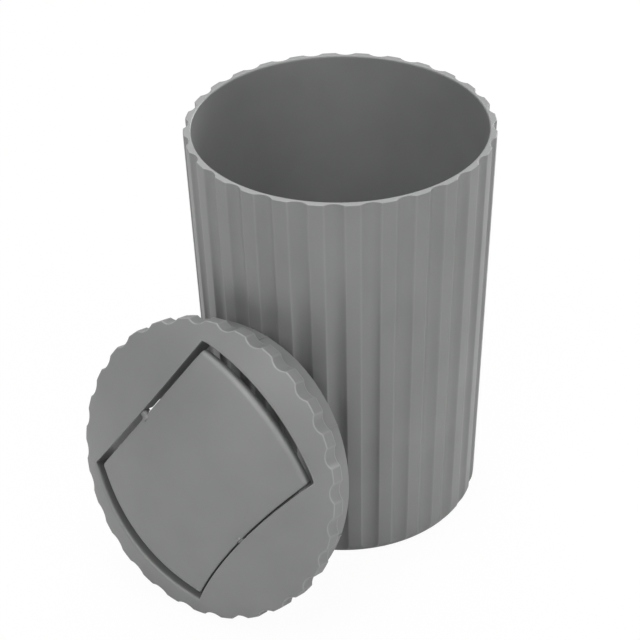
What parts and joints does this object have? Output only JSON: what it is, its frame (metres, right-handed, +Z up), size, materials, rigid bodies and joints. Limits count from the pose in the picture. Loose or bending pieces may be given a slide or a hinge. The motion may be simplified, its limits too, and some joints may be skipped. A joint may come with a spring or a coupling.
{
  "type": "swing lid waste bin",
  "caption": "Small round fluted waste bin, with its domed swing lid taken off and leaning on its front.",
  "frame": {"origin": "centre of the bin's flat underside, on the floor", "axes": "+Z up along the bin's axis, -Y towards the lid that leans on the front, +X to the right seen from the front"},
  "size_m": [0.2046, 0.2785, 0.284],
  "materials": {
    "bin_plastic": "satin moulded polypropylene, grey",
    "lid_plastic": "satin moulded polypropylene, grey",
    "flap_plastic": "satin moulded polypropylene, grey"
  },
  "bodies": {
    "bin": {"bin_body": "bin_plastic"},
    "lid": {"lid_ring": "lid_plastic"},
    "flap": {"swing_flap": "flap_plastic"}
  },
  "joints": [
    {"name": "lid_lift", "type": "slide", "parent": "bin", "child": "lid", "axis": [0, -0.9583, 0.2857], "range_m": [0, 0.12]},
    {"name": "flap_swing", "type": "hinge", "parent": "lid", "child": "flap", "pos_m": [-0.00387, -0.16004, 0.10141], "axis": [0.8467, -0.152, -0.5099], "range_deg": [-35, 72]}
  ]
}
